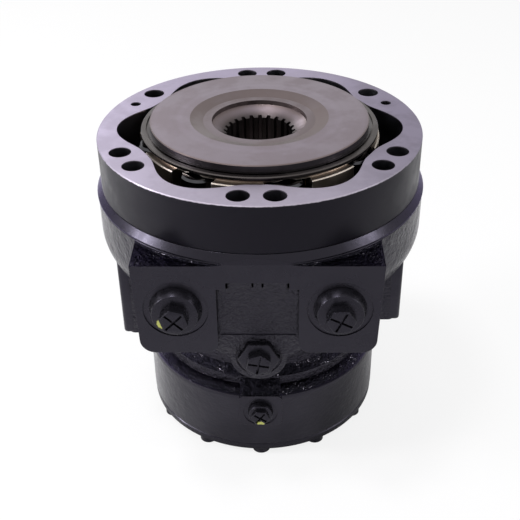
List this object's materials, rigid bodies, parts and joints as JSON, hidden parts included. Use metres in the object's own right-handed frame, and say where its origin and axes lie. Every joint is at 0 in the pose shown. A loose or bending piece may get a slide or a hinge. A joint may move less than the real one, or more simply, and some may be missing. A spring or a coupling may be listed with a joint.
{
  "type": "hydraulic drive motor",
  "caption": "Radial piston hydraulic drive motor with a cam ring, a splined cylinder block, a flat port block and a multi-disc brake behind.",
  "frame": {"origin": "centre of the stud circle on the cam ring face, where the hub is bolted on", "axes": "+Z along the motor axis out of the ring face, oil ports face -Y, +X to the right when the ports face the viewer"},
  "size_m": [0.232, 0.244, 0.236],
  "materials": {
    "black_casting": "satin black paint over an as-cast surface",
    "black_machined": "satin black paint over a machined surface",
    "ring_steel": "ground steel face, black paint on the outside",
    "rotor_steel": "turned steel with a thin oil film",
    "roller_steel": "hardened and polished, dark",
    "spring_steel": "bright spring steel",
    "bearing_bronze": "plain bronze",
    "steel": "turned steel",
    "seal_rubber": "matt",
    "friction_lining": "pressed friction lining",
    "zinc_screws": "blackened steel",
    "plug_plastic": "yellow-green plastic under black overspray"
  },
  "bodies": {
    "housing": {"cam_ring": "ring_steel", "ring_locating_pins": "steel", "ring_seal": "seal_rubber", "rear_housing": "black_casting", "flow_distributor": "steel", "distributor_seals": "seal_rubber", "distributor_spring": "spring_steel", "distributor_pin": "steel", "spool_spring": "spring_steel", "spool_end_plugs": "black_machined", "steel_plates": "steel", "disc_spring": "spring_steel", "brake_cover": "black_machined", "cover_seal": "seal_rubber", "cover_screws": "zinc_screws", "main_port_plug_left": "plug_plastic", "main_port_plug_right": "plug_plastic", "drain_port_plug": "plug_plastic", "brake_port_plug": "plug_plastic"},
    "rotor": {"cylinder_block": "rotor_steel", "guide_ring": "steel", "retaining_ring": "spring_steel", "brake_shaft": "steel", "friction_discs": "friction_lining"},
    "brake_piston": {"brake_piston": "steel", "brake_piston_seals": "seal_rubber"},
    "speed_spool": {"speed_spool": "steel"},
    "piston_1": {"piston_1": "steel", "piston_ring_1": "seal_rubber", "roller_bush_1": "bearing_bronze"},
    "roller_1": {"roller_1": "roller_steel"},
    "piston_2": {"piston_2": "steel", "piston_ring_2": "seal_rubber", "roller_bush_2": "bearing_bronze"},
    "roller_2": {"roller_2": "roller_steel"},
    "piston_3": {"piston_3": "steel", "piston_ring_3": "seal_rubber", "roller_bush_3": "bearing_bronze"},
    "roller_3": {"roller_3": "roller_steel"},
    "piston_4": {"piston_4": "steel", "piston_ring_4": "seal_rubber", "roller_bush_4": "bearing_bronze"},
    "roller_4": {"roller_4": "roller_steel"},
    "piston_5": {"piston_5": "steel", "piston_ring_5": "seal_rubber", "roller_bush_5": "bearing_bronze"},
    "roller_5": {"roller_5": "roller_steel"},
    "piston_6": {"piston_6": "steel", "piston_ring_6": "seal_rubber", "roller_bush_6": "bearing_bronze"},
    "roller_6": {"roller_6": "roller_steel"},
    "piston_7": {"piston_7": "steel", "piston_ring_7": "seal_rubber", "roller_bush_7": "bearing_bronze"},
    "roller_7": {"roller_7": "roller_steel"},
    "piston_8": {"piston_8": "steel", "piston_ring_8": "seal_rubber", "roller_bush_8": "bearing_bronze"},
    "roller_8": {"roller_8": "roller_steel"}
  },
  "joints": [
    {"name": "rotor_spin", "type": "hinge", "parent": "housing", "child": "rotor", "pos_m": [0, 0, 0], "axis": [0, 0, 1], "continuous": true},
    {"name": "piston_1_stroke", "type": "slide", "parent": "rotor", "child": "piston_1", "axis": [0.9703, 0.2419, 0], "range_m": [0, 0.00645]},
    {"name": "roller_1_spin", "type": "hinge", "parent": "piston_1", "child": "roller_1", "pos_m": [0.07006, 0.01747, -0.0165], "axis": [0, 0, 1], "continuous": true},
    {"name": "piston_2_stroke", "type": "slide", "parent": "rotor", "child": "piston_2", "axis": [0.515, 0.8572, 0], "range_m": [0, 0.01464]},
    {"name": "roller_2_spin", "type": "hinge", "parent": "piston_2", "child": "roller_2", "pos_m": [0.03719, 0.06189, -0.0165], "axis": [0, 0, 1], "continuous": true},
    {"name": "piston_3_stroke", "type": "slide", "parent": "rotor", "child": "piston_3", "axis": [-0.2419, 0.9703, 0], "range_m": [0, 0.00489]},
    {"name": "roller_3_spin", "type": "hinge", "parent": "piston_3", "child": "roller_3", "pos_m": [-0.01747, 0.07006, -0.0165], "axis": [0, 0, 1], "continuous": true},
    {"name": "piston_4_stroke", "type": "slide", "parent": "rotor", "child": "piston_4", "axis": [-0.8572, 0.515, 0], "range_m": [0, 0.0007]},
    {"name": "roller_4_spin", "type": "hinge", "parent": "piston_4", "child": "roller_4", "pos_m": [-0.06189, 0.03719, -0.0165], "axis": [0, 0, 1], "continuous": true},
    {"name": "piston_5_stroke", "type": "slide", "parent": "rotor", "child": "piston_5", "axis": [-0.9703, -0.2419, 0], "range_m": [0, 0.00645]},
    {"name": "roller_5_spin", "type": "hinge", "parent": "piston_5", "child": "roller_5", "pos_m": [-0.07006, -0.01747, -0.0165], "axis": [0, 0, 1], "continuous": true},
    {"name": "piston_6_stroke", "type": "slide", "parent": "rotor", "child": "piston_6", "axis": [-0.515, -0.8572, 0], "range_m": [0, 0.01464]},
    {"name": "roller_6_spin", "type": "hinge", "parent": "piston_6", "child": "roller_6", "pos_m": [-0.03719, -0.06189, -0.0165], "axis": [0, 0, 1], "continuous": true},
    {"name": "piston_7_stroke", "type": "slide", "parent": "rotor", "child": "piston_7", "axis": [0.2419, -0.9703, 0], "range_m": [0, 0.00489]},
    {"name": "roller_7_spin", "type": "hinge", "parent": "piston_7", "child": "roller_7", "pos_m": [0.01747, -0.07006, -0.0165], "axis": [0, 0, 1], "continuous": true},
    {"name": "piston_8_stroke", "type": "slide", "parent": "rotor", "child": "piston_8", "axis": [0.8572, -0.515, 0], "range_m": [0, 0.0007]},
    {"name": "roller_8_spin", "type": "hinge", "parent": "piston_8", "child": "roller_8", "pos_m": [0.06189, -0.03719, -0.0165], "axis": [0, 0, 1], "continuous": true},
    {"name": "brake_release", "type": "slide", "parent": "housing", "child": "brake_piston", "axis": [0, 0, -1], "range_m": [0, 0.0015], "stiffness_N_per_m": 100000, "springref_m": -0.002, "deforming": ["disc_spring"]},
    {"name": "speed_shift", "type": "slide", "parent": "housing", "child": "speed_spool", "axis": [-1, 0, 0], "range_m": [0, 0.008], "stiffness_N_per_m": 2000, "springref_m": -0.005, "deforming": ["spool_spring"]}
  ]
}
